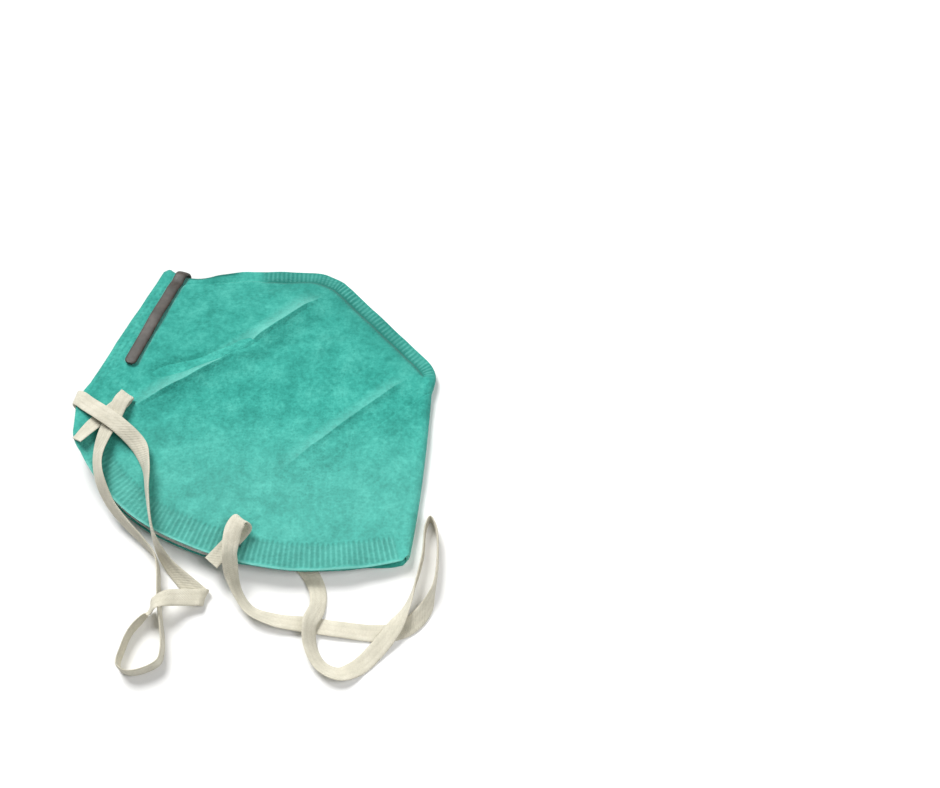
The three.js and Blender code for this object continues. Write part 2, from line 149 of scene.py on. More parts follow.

# Painted shade and painted light: the cloth's colour is painted a little darker towards the nose and beside
# the front seam, and paler towards the chin, for the way the light falls over it
NOSE_PAINTED_SHADE = 0.14
NOSE_PAINTED_SHADE_FROM_TO = (-0.005, 0.050)
SEAM_PAINTED_SHADE = 0.20
SEAM_PAINTED_SHADE_FROM_TO = (0.006, 0.016)
CHIN_PAINTED_LIGHT = 0.17
CHIN_PAINTED_LIGHT_FROM_TO = (-0.040, 0.005)

# Slow, shallow unevenness of the cloth: many small waves that cross each other
SOFT_RELIEF = 0.00012
WAVE_COUNT = 40
WAVE_LENGTHS = (0.005, 0.016)
WAVE_SEED = 7

# Mesh steps. A pair gives the steps round the front fold and those from there to the face edge. Fine rows
# run from one row to another, in a number of steps.
PANEL_ROWS = (104, 92, 168)
FINE_ROWS = [(0.97, 1.16, 64), (1.90, 2.12, 56)]
LINING_ROWS = (50, 40, 60)
SHELL_UPPER = (34, 110)
SHELL_LOWER = (14, 26)
SHELL_INSIDE = (5, 8)
LINING_COUNTS = (8, 16)
EDGE_CROWDING = 0.5
LOCATE_STEPS = 40
TRACE_STEPS = 80
WRINKLE_STEPS = 20
STRAP_STEPS_PER_SPAN = 8
STRAP_ACROSS_STEPS = 30
CLIP_LEG_STEPS = 48
CLIP_BEND_STEPS = 24
CLIP_TIP_CROWDING = 1.5
CLIP_OUTLINE_STEPS = 28
STAPLE_CORNER_STEPS = 6
STAPLE_OUTLINE_STEPS = 12
SMOOTH_ANGLE = 40.0
STRAP_SMOOTH_ANGLE = 70.0

# Open edges: the cloth thins towards them, and the lining and the lower half stop short of them
EDGE_THIN = 0.5
EDGE_THIN_WIDTH = 0.004
LINING_INSET = 0.0006
LINING_NOSE_END = 0.07
LINING_CHIN_END = 2.84
LOWER_INSET = 0.0022
LOWER_INSET_STARTS = (2.1, 2.4)
LOWER_INSET_ENDS = (2.8, 3.0)
MOST_INSET = 0.2

# Studio. Each light has a name, its place, the place that it points at, its size and its power.
FLOOR_SIZE = 3.0
FLOOR_HEIGHT = -0.00005
WORLD_STRENGTH = 0.19
LIGHTS = [
    ("key", (-0.75, 1.22, 1.71), (0.0, 0.0, 0.0), 1.20, 59.0),
    ("front", (0.19, -0.15, 0.30), (0.04, -0.02, 0.0), 0.20, 0.54),
]

# Colours from dark to light, in the 0 to 255 steps of a screen, and the tones that they stand at
GREEN_COLOURS = [(36, 141, 128), (55, 164, 150), (78, 184, 169)]
# The pressed colour also takes the painted shade, and the pale colour the painted light and painted
# highlights
GREEN_PRESSED_AND_SHADED = (24, 110, 99)
GREEN_PALE = (142, 213, 202)
WHITE_COLOURS = [(222, 224, 220), (236, 238, 234), (245, 246, 243)]
WHITE_PRESSED_AND_SHADED = (206, 208, 204)
WHITE_PALE = (250, 250, 248)
CLOTH_TONES = (0.36, 0.50, 0.64)
ELASTIC_COLOURS = [(198, 194, 176), (211, 206, 188), (221, 217, 200)]
# The colour of the painted shade in the straps' grooves
ELASTIC_GROOVE_SHADE = (176, 168, 148)
ELASTIC_TONES = (0.36, 0.52, 0.66)
CLIP_COLOURS = [(48, 44, 38), (63, 57, 51), (80, 72, 65)]
CLIP_TONES = (0.38, 0.50, 0.64)
STEEL_COLOURS = [(96, 98, 102), (150, 152, 156)]
STEEL_TONES = (0.35, 0.65)
FLOOR_COLOURS = [(245, 245, 244), (250, 250, 249)]
FLOOR_TONES = (0.3, 0.7)

# Finishes: the sizes of their grain, the height of their bump and the range of their roughness
NOISE_RANGE = (0.3, 0.7)
COARSE_SHARE = 0.6
BLOTCH_SIZE = 0.0090
BLOTCH_SHARE = 0.45
GRAIN_SIZE = 0.0017
FIBRE_SIZE = 0.00040
BOND_SIZE = 0.00110
BOND_EDGE = (0.10, 0.45)
BOND_SHADE = (0.22, 0.0)
BOND_HEIGHT = 0.5
CLOTH_BUMP = 0.00025
CLOTH_ROUGHNESS = (0.80, 0.95)
STAIN_SIZE = 0.006
YARN_SIZE = 0.0006
THREAD_SCALE = 4.5
THREAD_WOBBLE = 0.6
ELASTIC_BUMP = 0.00012
ELASTIC_ROUGHNESS = (0.72, 0.9)
PATCH_SIZE = 0.004
SCUFF_SIZE = 0.0006
CLIP_BUMP = 0.00005
CLIP_ROUGHNESS = (0.42, 0.62)
WIRE_MARK_SIZE = 0.0003
STEEL_BUMP = 0.00002
STEEL_ROUGHNESS = (0.28, 0.45)
FLOOR_WASH_SIZE = 0.35


def lerp(a, b, t):
    return a + (b - a) * t


def smoothstep(value, low, high):
    t = np.clip((value - low) / (high - low), 0.0, 1.0)
    return t * t * (3.0 - 2.0 * t)


def unit(vectors):
    return vectors / np.linalg.norm(vectors, axis=-1, keepdims=True)


def add_object(name, data):
    thing = bpy.data.objects.new(name, data)
    bpy.context.collection.objects.link(thing)
    return thing


# Camera and view
def make_camera():
    camera = bpy.data.cameras.new("camera")
    camera.sensor_width = SENSOR_WIDTH
    camera.lens = PHOTO_FOCAL * SENSOR_WIDTH / PHOTO_WIDTH
    camera.clip_start = NEAREST_SEEN
    holder = add_object("camera", camera)
    rise = math.radians(VIEW_ELEVATION)
    back = Vector((0.0, -math.cos(rise), math.sin(rise))) * VIEW_DISTANCE
    holder.location = Vector(VIEW_TARGET) + back
    holder.rotation_euler = (math.pi / 2 - rise, 0.0, 0.0)
    bpy.context.scene.camera = holder


make_camera()


# Both edges of the folded mask seen from above, from the nose to the chin. A move of one point is straight,
# and a move of two is a curve drawn by the first.
FRONT_START = (-0.0388, 0.0619)
FRONT_MOVES = [
    [(-0.0310, 0.0560), (-0.0200, 0.0600)],
    [(-0.0134, 0.0624), (-0.0020, 0.0625)],
    [(0.0140, 0.0626)],
    [(0.0225, 0.0624), (0.0290, 0.0576)],
    [(0.0606, 0.0238)],
    [(0.0662, 0.0180), (0.0650, 0.0130)],
    [(0.0644, 0.0100), (0.0637, 0.0080)],
    [(0.0616, -0.0300), (0.0572, -0.0560)],
]
FACE_START = (-0.0416, 0.0600)
FACE_MOVES = [
    [(-0.0614, 0.0076)],
    [(-0.0648, 0.0020), (-0.0650, -0.0020)],
    [(-0.0646, -0.0120)],
    [(-0.0640, -0.0165), (-0.0610, -0.0200)],
    [(-0.0500, -0.0396), (-0.0313, -0.0496)],
    [(-0.0020, -0.0640), (0.0220, -0.0635)],
    [(0.0400, -0.0632), (0.0546, -0.0590)],
]


class Line:
    """A fine line, measured along its length."""

    def __init__(self, points):
        self.points = points
        steps = np.linalg.norm(np.diff(points, axis=0), axis=1)
        self.run = np.concatenate([[0.0], np.cumsum(steps)])

    def nearest(self, spots):
        """How far each spot seen from above is from the line, plus on its left, and how far along it."""
        best = np.full(len(spots), np.inf)
        gap = np.zeros(len(spots))
        run = np.zeros(len(spots))
        for k in range(len(self.points) - 1):
            start = self.points[k]
            step = self.points[k + 1] - start
            off = spots - start
            t = np.clip(off @ step / (step @ step), 0.0, 1.0)
            away = np.linalg.norm(off - t[:, None] * step, axis=1)
            closer = away < best
            left = step[0] * off[:, 1] - step[1] * off[:, 0] > 0.0
            best[closer] = away[closer]
            gap[closer] = np.where(left, away, -away)[closer]
            run[closer] = lerp(self.run[k], self.run[k + 1], t[closer])
        return gap, run


class Edge(Line):
    """One edge of the mask."""

    def __init__(self, start, moves):
        line = [np.array([start])]
        for move in moves:
            line.append(self.traced(line[-1][-1], [np.array(p) for p in move]))
        super().__init__(np.concatenate(line))

    @staticmethod
    def traced(start, move):
        t = np.linspace(0.0, 1.0, TRACE_STEPS + 1)[1:, None]
        if len(move) == 1:
            return lerp(start, move[0], t)
        return lerp(lerp(start, move[0], t), lerp(move[0], move[1], t), t)

    def at(self, share):
        run = np.asarray(share) * self.run[-1]
        return np.stack([np.interp(run, self.run, self.points[:, k]) for k in (0, 1)], axis=-1)

    def tangent(self, share):
        nudge = 0.001
        return unit(self.at(np.minimum(share + nudge, 1.0)) - self.at(np.maximum(share - nudge, 0.0)))


front_edge = Edge(FRONT_START, FRONT_MOVES)
face_edge = Edge(FACE_START, FACE_MOVES)


# Rows run across the mask from the front edge to the face edge. Rows 1 and 2 are the two packing creases.
CORNER_ROWS = (0, 1, 2, 3)
FRONT_SHARES = (0.0, 0.358, 0.63, 1.0)
FACE_SHARES = (0.0, 0.353, 0.626, 1.0)


@dataclass
class Section:
    """Heights across the mask at one row, and the share of the front that is welded flat there."""

    row: float
    front_lift: float
    face_lift: float
    face_height: float
    bulge: float
    weld: float


SECTIONS = [
    Section(0.00, 0.0020, 0.0020, 0.0052, 0.0000, 0.0),
    Section(0.25, 0.0020, 0.0021, 0.0067, 0.0009, 0.0),
    Section(0.50, 0.0009, 0.0023, 0.0084, 0.0023, 0.7),
    Section(0.85, 0.0000, 0.0025, 0.0096, 0.0036, 1.0),
    Section(1.15, 0.0000, 0.0025, 0.0093, 0.0040, 1.0),
    Section(1.88, 0.0000, 0.0025, 0.0070, 0.0038, 1.0),
    Section(2.05, 0.0000, 0.0025, 0.0063, 0.0033, 0.0),
    Section(2.25, 0.0000, 0.0025, 0.0058, 0.0025, 0.0),
    Section(2.65, 0.0000, 0.0018, 0.0052, 0.0013, 0.0),
    Section(3.00, 0.0000, 0.0000, 0.0052, 0.0000, 0.0),
]


def section(row, name):
    rows = np.array([line.row for line in SECTIONS])
    values = np.array([getattr(line, name) for line in SECTIONS])
    after = np.clip(np.searchsorted(rows, row), 1, len(rows) - 1)
    return lerp(values[after - 1], values[after], smoothstep(row, rows[after - 1], rows[after]))


class Rows:
    """Rows seen from above and their heights, each value a column with one line per row."""

    def __init__(self, row):
        self.row = np.asarray(row, dtype=float).reshape(-1, 1)
        self.front_lift = section(self.row, "front_lift")
        self.face_lift = section(self.row, "face_lift")
        self.face_height = section(self.row, "face_height")
        self.bulge = section(self.row, "bulge")
        self.weld = section(self.row, "weld")
        front_share = np.interp(self.row, CORNER_ROWS, FRONT_SHARES)
        self.front = front_edge.at(front_share)
        self.face = face_edge.at(np.interp(self.row, CORNER_ROWS, FACE_SHARES))
        across = self.face - self.front
        self.length = np.linalg.norm(across, axis=-1)
        tangent = front_edge.tangent(front_share)
        askew = np.abs(tangent[..., 0] * across[..., 1] - tangent[..., 1] * across[..., 0]) / self.length
        self.slant = np.minimum(1.0 / askew, MOST_SLANT)
        reach = (FOLD_DEPTH + self.weld * WELD_WIDTH) * self.slant
        self.reach = np.minimum(reach, MOST_REACH * self.length)

    def lift(self, share):
        return lerp(self.front_lift, self.face_lift, smoothstep(share, LIFT_FROM, LIFT_TO))

    def top(self, share):
        swell = 4.0 * share * (1.0 - share) * self.bulge
        return self.lift(share) + lerp(2.0 * FOLD_HALF, self.face_height, share) + swell

    def edge_inset(self, depth, upper):
        """How far a skin stops short of the face edge: the lining a little, the lower half more."""
        inset = LINING_INSET if depth > CLOTH else 0.0
        if not upper:
            chin = smoothstep(self.row, *LOWER_INSET_STARTS)
            chin = chin * (1.0 - smoothstep(self.row, *LOWER_INSET_ENDS))
            inset = inset + LOWER_INSET * chin
        return np.minimum(inset, MOST_INSET * (self.length - self.reach))

    def spots(self, q):
        """Places seen from above at distances q along each row."""
        t = (q / self.length)[..., None]
        return lerp(self.front, self.face, t)


# Each packing crease is a low ridge along a row that fades out on its way to the face edge. The solids'
# creases are straight. The cloth's own are off their rows by a shift at the front and another at the face,
# and bow between them. Each rises, drops at once by some of its height and then falls slowly, over a number
# of rows, and its rising side, which faces the light, is painted paler as a painted highlight.
@dataclass
class Crease:
    row: int
    fade_from: float
    fade_to: float
    shift_from: float
    shift_to: float
    bow: float
    height: float
    rise_rows: float
    drop_rows: float
    fall_rows: float
    painted_highlight: float


CREASES = [
    Crease(1, 0.65, 0.85, 0.0103, 0.0600, 0.080, 0.0029, 0.120, 0.028, 0.160, 0.34),
    Crease(2, 0.40, 0.65, -0.0685, 0.0930, -0.010, 0.0010, 0.090, 0.028, 0.060, 0.20),
]


def crease_reach(crease, share):
    return smoothstep(share, 0.0, CREASE_START) * (1.0 - smoothstep(share, crease.fade_from, crease.fade_to))


def crease_height(row, share):
    """Height of the solids' creases."""
    height = 0.0
    for crease in CREASES:
        past = row - crease.row
        slope = np.where(past < 0.0, -past / CREASE_RISE_ROWS, past / CREASE_FALL_ROWS)
        height = np.maximum(height, np.clip(1.0 - slope, 0.0, 1.0) * crease_reach(crease, share))
    return CREASE_HEIGHT * height


def rows_past(crease, row, share):
    """How many rows past the cloth's own crease a place is."""
    shift = lerp(crease.shift_from, crease.shift_to, share)
    bow = crease.bow * np.sin(math.pi * share)
    return row - (crease.row + shift + bow)


def cloth_crease_height(row, share):
    """Height of the cloth's own creases."""
    height = 0.0
    for crease in CREASES:
        past = rows_past(crease, row, share)
        rise = np.clip(1.0 + past / crease.rise_rows, 0.0, 1.0) ** CREASE_RISE_POWER
        drop = np.clip(1.0 - past / crease.drop_rows, 0.0, 1.0)
        fall = np.clip(1.0 - past / crease.fall_rows, 0.0, 1.0) ** CREASE_FALL_POWER
        ridge = np.where(past < 0.0, rise, lerp(fall, drop, CREASE_DROP))
        height = np.maximum(height, crease.height * ridge * crease_reach(crease, share))
    return height


def crease_painted_highlight(row, share):
    """How much painted highlight goes on the rising side of each crease, the slope that faces the light."""
    white = 0.0
    for crease in CREASES:
        past = rows_past(crease, row, share)
        rise = np.where(past < 0.0, np.clip(1.0 + past / crease.rise_rows, 0.0, 1.0), 0.0)
        white = np.maximum(white, crease.painted_highlight * rise * crease_reach(crease, share))
    return white


def locate(x, y):
    """The row at a place seen from above, and the place's share of the way to the face edge."""
    low, high = 0.0, float(CORNER_ROWS[-1])
    for _ in range(LOCATE_STEPS):
        middle = (low + high) / 2
        rows = Rows(middle)
        front, face = rows.front[0, 0], rows.face[0, 0]
        side = (face[0] - front[0]) * (y - front[1]) - (face[1] - front[1]) * (x - front[0])
        if side > 0:
            low = middle
        else:
            high = middle
    rows = Rows(low)
    front, face = rows.front[0, 0], rows.face[0, 0]
    length = rows.length[0, 0]
    reach = rows.reach[0, 0]
    q = (np.array([x, y]) - front) @ (face - front) / length
    return rows, float(np.clip((q - reach) / (length - reach), 0.0, 1.0))


def top_at(x, y):
    rows, share = locate(x, y)
    return float((rows.top(share) + crease_height(rows.row, share))[0, 0])


def underside_at(x, y):
    rows, share = locate(x, y)
    return float(rows.lift(share)[0, 0])


# Pieces
def make_mesh(name, points, faces, material):
    mesh = bpy.data.meshes.new(name)
    mesh.from_pydata(np.asarray(points).tolist(), [], faces)
    mesh.materials.append(material)
    return mesh


def make_piece(name, points, faces, node, material, smooth_angle=SMOOTH_ANGLE):
    """A smooth mesh that stands for a solid, rides on the part's one body and has its slot's finish."""
    mesh = make_mesh(name, points, faces, material)
    mesh.shade_smooth()
    mesh.set_sharp_from_angle(angle=math.radians(smooth_angle))
    piece = add_object(name, mesh)
    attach(piece, BODY)
    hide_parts(node)
    return piece


def grid_faces(at):
    """Faces between the points of a grid, given as their numbers."""
    corners = [at[:-1, :-1], at[:-1, 1:], at[1:, 1:], at[1:, :-1]]
    return np.stack(corners, axis=-1).reshape(-1, 4).tolist()


def zipped(a, b):
    """Triangles between two lines of points with different counts."""
    faces = []
    i, j = 0, 0
    while i + 1 < len(a) or j + 1 < len(b):
        if j + 1 == len(b) or (i + 1 < len(a) and (i + 1) / (len(a) - 1) <= (j + 1) / (len(b) - 1)):
            faces.append((a[i], b[j], a[i + 1]))
            i += 1
        else:
            faces.append((a[i], b[j], b[j + 1]))
            j += 1
    return faces


# Materials
MIX_INPUTS = (0, 6, 7)
MIX_OUTPUT = 2


class Shader:
    """A material's nodes, with short calls that add nodes and join them."""

    def __init__(self, name):
        self.material = bpy.data.materials.new(name)
        self.material.use_nodes = True
        self.tree = self.material.node_tree
        self.surface = self.tree.nodes["Principled BSDF"]
        self.place = self.add("ShaderNodeTexCoord").outputs["Object"]

    def feed(self, socket, value):
        if isinstance(value, bpy.types.NodeSocket):
            self.tree.links.new(value, socket)
        else:
            socket.default_value = value

    def add(self, kind, settings=(), **inputs):
        node = self.tree.nodes.new(kind)
        for name, value in dict(settings).items():
            setattr(node, name, value)
        for name, value in inputs.items():
            self.feed(node.inputs[name], value)
        return node

    def set(self, **inputs):
        for name, value in inputs.items():
            self.feed(self.surface.inputs[name.replace("_", " ")], value)

    def noise(self, size, detail=3.0, roughness=0.55):
        inputs = {"Vector": self.place, "Scale": 1.0 / size, "Detail": detail, "Roughness": roughness}
        return self.add("ShaderNodeTexNoise", **inputs).outputs["Fac"]

    def cells(self, size, randomness):
        inputs = {"Vector": self.place, "Scale": 1.0 / size, "Randomness": randomness}
        return self.add("ShaderNodeTexVoronoi", **inputs).outputs["Distance"]

    def math(self, operation, a, b):
        node = self.add("ShaderNodeMath", {"operation": operation})
        self.feed(node.inputs[0], a)
        self.feed(node.inputs[1], b)
        return node.outputs["Value"]

    def blend(self, a, b, share):
        """A share of one value and the rest of another."""
        return self.math("ADD", self.math("MULTIPLY", a, share), self.math("MULTIPLY", b, 1.0 - share))

    def remap(self, value, before, after):
        node = self.add("ShaderNodeMapRange", Value=value)
        for name, number in zip(("From Min", "From Max", "To Min", "To Max"), (*before, *after)):
            node.inputs[name].default_value = number
        return node.outputs["Result"]

    def ramp(self, value, tones, colours):
        node = self.add("ShaderNodeValToRGB", Fac=value)
        elements = node.color_ramp.elements
        while len(elements) < len(tones):
            elements.new(0.5)
        for element, tone, colour in zip(elements, tones, colours):
            element.position = tone
            element.color = srgb(*colour)
        return node.outputs["Color"]

    def mix(self, share, a, b):
        """Two colours mixed. The node's colour sockets share names with others, so they go by number."""
        node = self.add("ShaderNodeMix", {"data_type": "RGBA"})
        for number, value in zip(MIX_INPUTS, (share, a, b)):
            self.feed(node.inputs[number], value)
        return node.outputs[MIX_OUTPUT]

    def attribute(self, name):
        return self.add("ShaderNodeAttribute", {"attribute_name": name}).outputs["Fac"]

    def bump(self, height, distance):
        node = self.add("ShaderNodeBump", Height=height, Distance=distance)
        self.set(Normal=node.outputs["Normal"])


def srgb(red, green, blue):
    """A colour given in the 0 to 255 steps of a screen, as linear light."""
    shares = np.array([red, green, blue]) / 255.0
    linear = np.where(shares <= 0.04045, shares / 12.92, ((shares + 0.055) / 1.055) ** 2.4)
    return (*linear.tolist(), 1.0)


def nonwoven(name, colours, pressed_and_painted_shade, pale):
    """Matt nonwoven cloth: soft blotches, a fine grain and small bonded points."""
    shader = Shader(name)
    blotches = shader.noise(BLOTCH_SIZE, detail=2.0)
    grain = shader.noise(GRAIN_SIZE, detail=5.0, roughness=0.65)
    fibres = shader.noise(FIBRE_SIZE)
    bonds = shader.cells(BOND_SIZE, randomness=0.75)
    colour = shader.ramp(shader.blend(blotches, grain, BLOTCH_SHARE), CLOTH_TONES, colours)
    points = shader.remap(bonds, BOND_EDGE, BOND_SHADE)
    # Pressed marks and painted shade take the cloth towards the pressed colour, pale marks and painted light
    # towards the pale one
    colour = shader.mix(shader.math("MAXIMUM", shader.attribute("pressed_and_painted_shade"), points), colour, srgb(*pressed_and_painted_shade))
    colour = shader.mix(shader.attribute("pale"), colour, srgb(*pale))
    shader.set(Base_Color=colour, Roughness=shader.remap(grain, NOISE_RANGE, CLOTH_ROUGHNESS))
    shader.set(Sheen_Weight=0.12, Sheen_Roughness=0.5, Specular_IOR_Level=0.25)
    soft = shader.blend(grain, fibres, COARSE_SHARE)
    shader.bump(shader.math("ADD", soft, shader.math("MULTIPLY", bonds, BOND_HEIGHT)), CLOTH_BUMP)
    return shader.material


def elastic():
    """Woven elastic: cream cords along its length, with fine slanted threads over them."""
    shader = Shader("elastic")
    along = shader.add("ShaderNodeUVMap", {"uv_map": "along"}).outputs["UV"]
    slanted = {"bands_direction": "DIAGONAL"}
    weave = {"Vector": along, "Scale": THREAD_SCALE, "Distortion": THREAD_WOBBLE}
    threads = shader.add("ShaderNodeTexWave", slanted, **weave).outputs["Fac"]
    stains = shader.noise(STAIN_SIZE)
    yarn = shader.noise(YARN_SIZE)
    cream = shader.ramp(shader.blend(stains, yarn, COARSE_SHARE), ELASTIC_TONES, ELASTIC_COLOURS)
    # Painted shade: the cream goes towards a darker colour in the strap's grooves
    shader.set(Base_Color=shader.mix(shader.attribute("pressed_and_painted_shade"), cream, srgb(*ELASTIC_GROOVE_SHADE)))
    shader.set(Roughness=shader.remap(yarn, NOISE_RANGE, ELASTIC_ROUGHNESS))
    shader.set(Sheen_Weight=0.2, Specular_IOR_Level=0.3)
    shader.bump(shader.blend(threads, yarn, COARSE_SHARE), ELASTIC_BUMP)
    return shader.material


def clip_coating():
    """A dark grey coating, a little worn and scuffed."""
    shader = Shader("clip_coating")
    patches = shader.noise(PATCH_SIZE, detail=4.0)
    scuffs = shader.noise(SCUFF_SIZE, detail=4.0, roughness=0.7)
    shader.set(Base_Color=shader.ramp(shader.blend(patches, scuffs, COARSE_SHARE), CLIP_TONES, CLIP_COLOURS))
    shader.set(Roughness=shader.remap(scuffs, NOISE_RANGE, CLIP_ROUGHNESS), Specular_IOR_Level=0.4)
    shader.bump(scuffs, CLIP_BUMP)
    return shader.material


def staple_steel():
    """Bare steel wire with drawing marks."""
    shader = Shader("staple_steel")
    marks = shader.noise(WIRE_MARK_SIZE)
    shader.set(Base_Color=shader.ramp(marks, STEEL_TONES, STEEL_COLOURS))
    shader.set(Roughness=shader.remap(marks, NOISE_RANGE, STEEL_ROUGHNESS), Metallic=1.0)
    shader.bump(marks, STEEL_BUMP)
    return shader.material


def floor_paint():
    """A pale, even studio floor."""
    shader = Shader("floor_paint")
    wash = shader.noise(FLOOR_WASH_SIZE, detail=2.0)
    shader.set(Base_Color=shader.ramp(wash, FLOOR_TONES, FLOOR_COLOURS))
    shader.set(Roughness=0.9, Specular_IOR_Level=0.1)
    return shader.material


GREEN = nonwoven("green_cloth", GREEN_COLOURS, GREEN_PRESSED_AND_SHADED, GREEN_PALE)
WHITE = nonwoven("white_cloth", WHITE_COLOURS, WHITE_PRESSED_AND_SHADED, WHITE_PALE)
ELASTIC = elastic()
CLIP = clip_coating()
STEEL = staple_steel()


# Strap routes: a point seen from above, what the strap is over (or under), how clear of it the strap is, and
# the heading and the lean of the strap's width, in degrees: x, y, over, clear, heading, lean
UPPER_STRAP = [
    (-0.0620, -0.0169, "cloth", STRAP_CLEAR, 144, -32),
    (-0.0570, -0.0104, "cloth", STRAP_CLEAR, 141, -12),
    (-0.0520, -0.0056, "cloth", STRAP_CLEAR, 140, 0),
    (-0.0476, -0.0012, "cloth", STRAP_CLEAR, 141, 0),
    (-0.0459, 0.0007, "cloth", 0.0019, 144, 0),
    (-0.0472, -0.0018, "cloth", 0.0032, 151, 0),
    (-0.0496, -0.0090, "cloth", 0.0030, 158, 0),
    (-0.0523, -0.0166, "cloth", 0.0017, 166, -22),
    (-0.0534, -0.0235, "cloth", 0.0006, 180, -42),
    (-0.0522, -0.0305, "cloth", 0.0005, 200, -52),
    (-0.0486, -0.0387, "floor", 0.0066, 213, -62),
    (-0.0426, -0.0456, "floor", 0.0034, 217, -70),
    (-0.0360, -0.0518, "floor", 0.0010, 220, -78),
    (-0.0312, -0.0576, "floor", 0.0003, 215, -86),
    (-0.0284, -0.0730, "floor", 0.0003, 180, -90),
    (-0.0252, -0.0905, "floor", 0.0003, 190, -90),
    (-0.0262, -0.0946, "floor", 0.0003, 230, -90),
    (-0.0352, -0.0980, "floor", 0.0003, 270, -90),
    (-0.0392, -0.0958, "floor", 0.0003, 150, -90),
    (-0.0384, -0.0890, "floor", 0.0003, 160, -90),
    (-0.0368, -0.0840, "floor", 0.0003, 150, -90),
    (-0.0338, -0.0798, "floor", 0.0003, 140, -90),
    (-0.0312, -0.0770, "floor", 0.0008, 136, -72),
    (-0.0288, -0.0750, "floor", 0.0056, 122, -34),
    (-0.0256, -0.0736, "floor", 0.0068, 104, -8),
    (-0.0216, -0.0724, "floor", 0.0050, 92, 0),
    (-0.0164, -0.0718, "floor", 0.0032, 84, 0),
    (-0.0144, -0.0716, "floor", 0.0028, 76, 0),
    (-0.0132, -0.0712, "floor", 0.0016, 70, 0),
    (-0.0144, -0.0704, "floor", 0.0005, 64, 0),
    (-0.0174, -0.0682, "floor", 0.0003, 56, 12),
    (-0.0224, -0.0640, "floor", 0.0003, 50, 38),
    (-0.0274, -0.0588, "floor", 0.0016, 40, 60),
    (-0.0304, -0.0534, "floor", 0.0070, 26, 76),
    (-0.0318, -0.0492, "cloth", 0.0006, 18, 80),
    (-0.0344, -0.0370, "cloth", 0.0005, 10, 70),
    (-0.0358, -0.0276, "cloth", 0.0005, 20, 54),
    (-0.0394, -0.0194, "cloth", 0.0008, 42, 18),
    (-0.0468, -0.0126, "cloth", 0.0044, 57, 0),
    (-0.0536, -0.0076, "cloth", 0.0044, 53, 0),
    (-0.0602, -0.0022, "cloth", 0.0012, 52, 0),
    (-0.0636, 0.0004, "floor", 0.0132, 62, 0),
    (-0.0658, 0.0016, "floor", 0.0112, 78, 0),
    (-0.0658, 0.0016, "floor", 0.0064, 82, 0),
    (-0.0656, 0.0015, "floor", 0.0022, 78, 0),
    (-0.0636, 0.0004, "floor", 0.0006, 62, 0),
    (-0.0586, -0.0034, "under", STRAP_CLEAR, 52, 0),
    (-0.0515, -0.0090, "under", STRAP_CLEAR, 52, 0),
]
LOWER_STRAP = [
    (-0.0106, -0.0615, "cloth", STRAP_CLEAR, 139, 0),
    (-0.0046, -0.0546, "cloth", 0.0008, 139, 0),
    (-0.0012, -0.0506, "cloth", 0.0008, 140, 0),
    (0.0006, -0.0486, "cloth", 0.0028, 142, 0),
    (-0.0008, -0.0478, "cloth", 0.0048, 148, 0),
    (-0.0026, -0.0506, "cloth", 0.0049, 160, 8),
    (-0.0035, -0.0554, "cloth", 0.0038, 171, 28),
    (-0.0037, -0.0604, "cloth", 0.0026, 182, 48),
    (-0.0032, -0.0660, "floor", 0.0042, 194, 56),
    (-0.0009, -0.0714, "floor", 0.0008, 214, 58),
    (0.0032, -0.0762, "floor", 0.0003, 235, 47),
    (0.0115, -0.0793, "floor", 0.0002, 250, 28),
    (0.0220, -0.0807, "floor", 0.0002, 259, 12),
    (0.0340, -0.0824, "floor", 0.0002, 261, 10),
    (0.0456, -0.0836, "floor", 0.0002, 266, 0),
    (0.0552, -0.0824, "floor", 0.0002, 292, -4),
    (0.0622, -0.0766, "floor", 0.0003, 325, -40),
    (0.0656, -0.0680, "floor", 0.0003, 347, -85),
    (0.0668, -0.0570, "floor", 0.0003, 356, -90),
    (0.0660, -0.0460, "floor", 0.0003, 10, -90),
    (0.0640, -0.0426, "floor", 0.0003, 90, -90),
    (0.0624, -0.0460, "floor", 0.0003, 172, -90),
    (0.0616, -0.0560, "floor", 0.0003, 172, -90),
    (0.0594, -0.0660, "floor", 0.0003, 165, -86),
    (0.0564, -0.0752, "floor", 0.0006, 155, -60),
    (0.0518, -0.0830, "floor", 0.0017, 148, -10),
    (0.0466, -0.0896, "floor", 0.0008, 142, 5),
    (0.0408, -0.0952, "floor", 0.0003, 130, 0),
    (0.0344, -0.0980, "floor", 0.0003, 95, -28),
    (0.0282, -0.0954, "floor", 0.0003, 50, -42),
    (0.0244, -0.0890, "floor", 0.0006, 18, -46),
    (0.0238, -0.0816, "floor", 0.0027, 0, -42),
    (0.0258, -0.0754, "floor", 0.0008, -6, -32),
    (0.0256, -0.0694, "floor", 0.0003, 12, -16),
    (0.0230, -0.0634, "floor", 0.0003, 28, 0),
    (0.0174, -0.0572, "under", STRAP_CLEAR, 48, 0),
    (0.0070, -0.0528, "under", STRAP_CLEAR, 72, 0),
    (-0.0055, -0.0510, "under", STRAP_CLEAR, 78, 0),
]


def half_height(rise):
    return STRAP_WIDTH / 2 * np.abs(rise) + STRAP_THICK / 2 * np.sqrt(1.0 - rise**2)


def strap_height(x, y, over, clear, lean):
    half = float(half_height(math.sin(lean)))
    clear = max(clear - STRAP_SETTLE, LEAST_CLEAR[over])
    if over == "cloth":
        return top_at(x, y) + clear + half
    if over == "under":
        return underside_at(x, y) - clear - half
    return clear + half


# Timing of a smooth line between its points: by the root of their distance, which keeps it from overshooting
# where they are uneven, or evenly
BY_DISTANCE = 0.5
EVENLY = 0.0


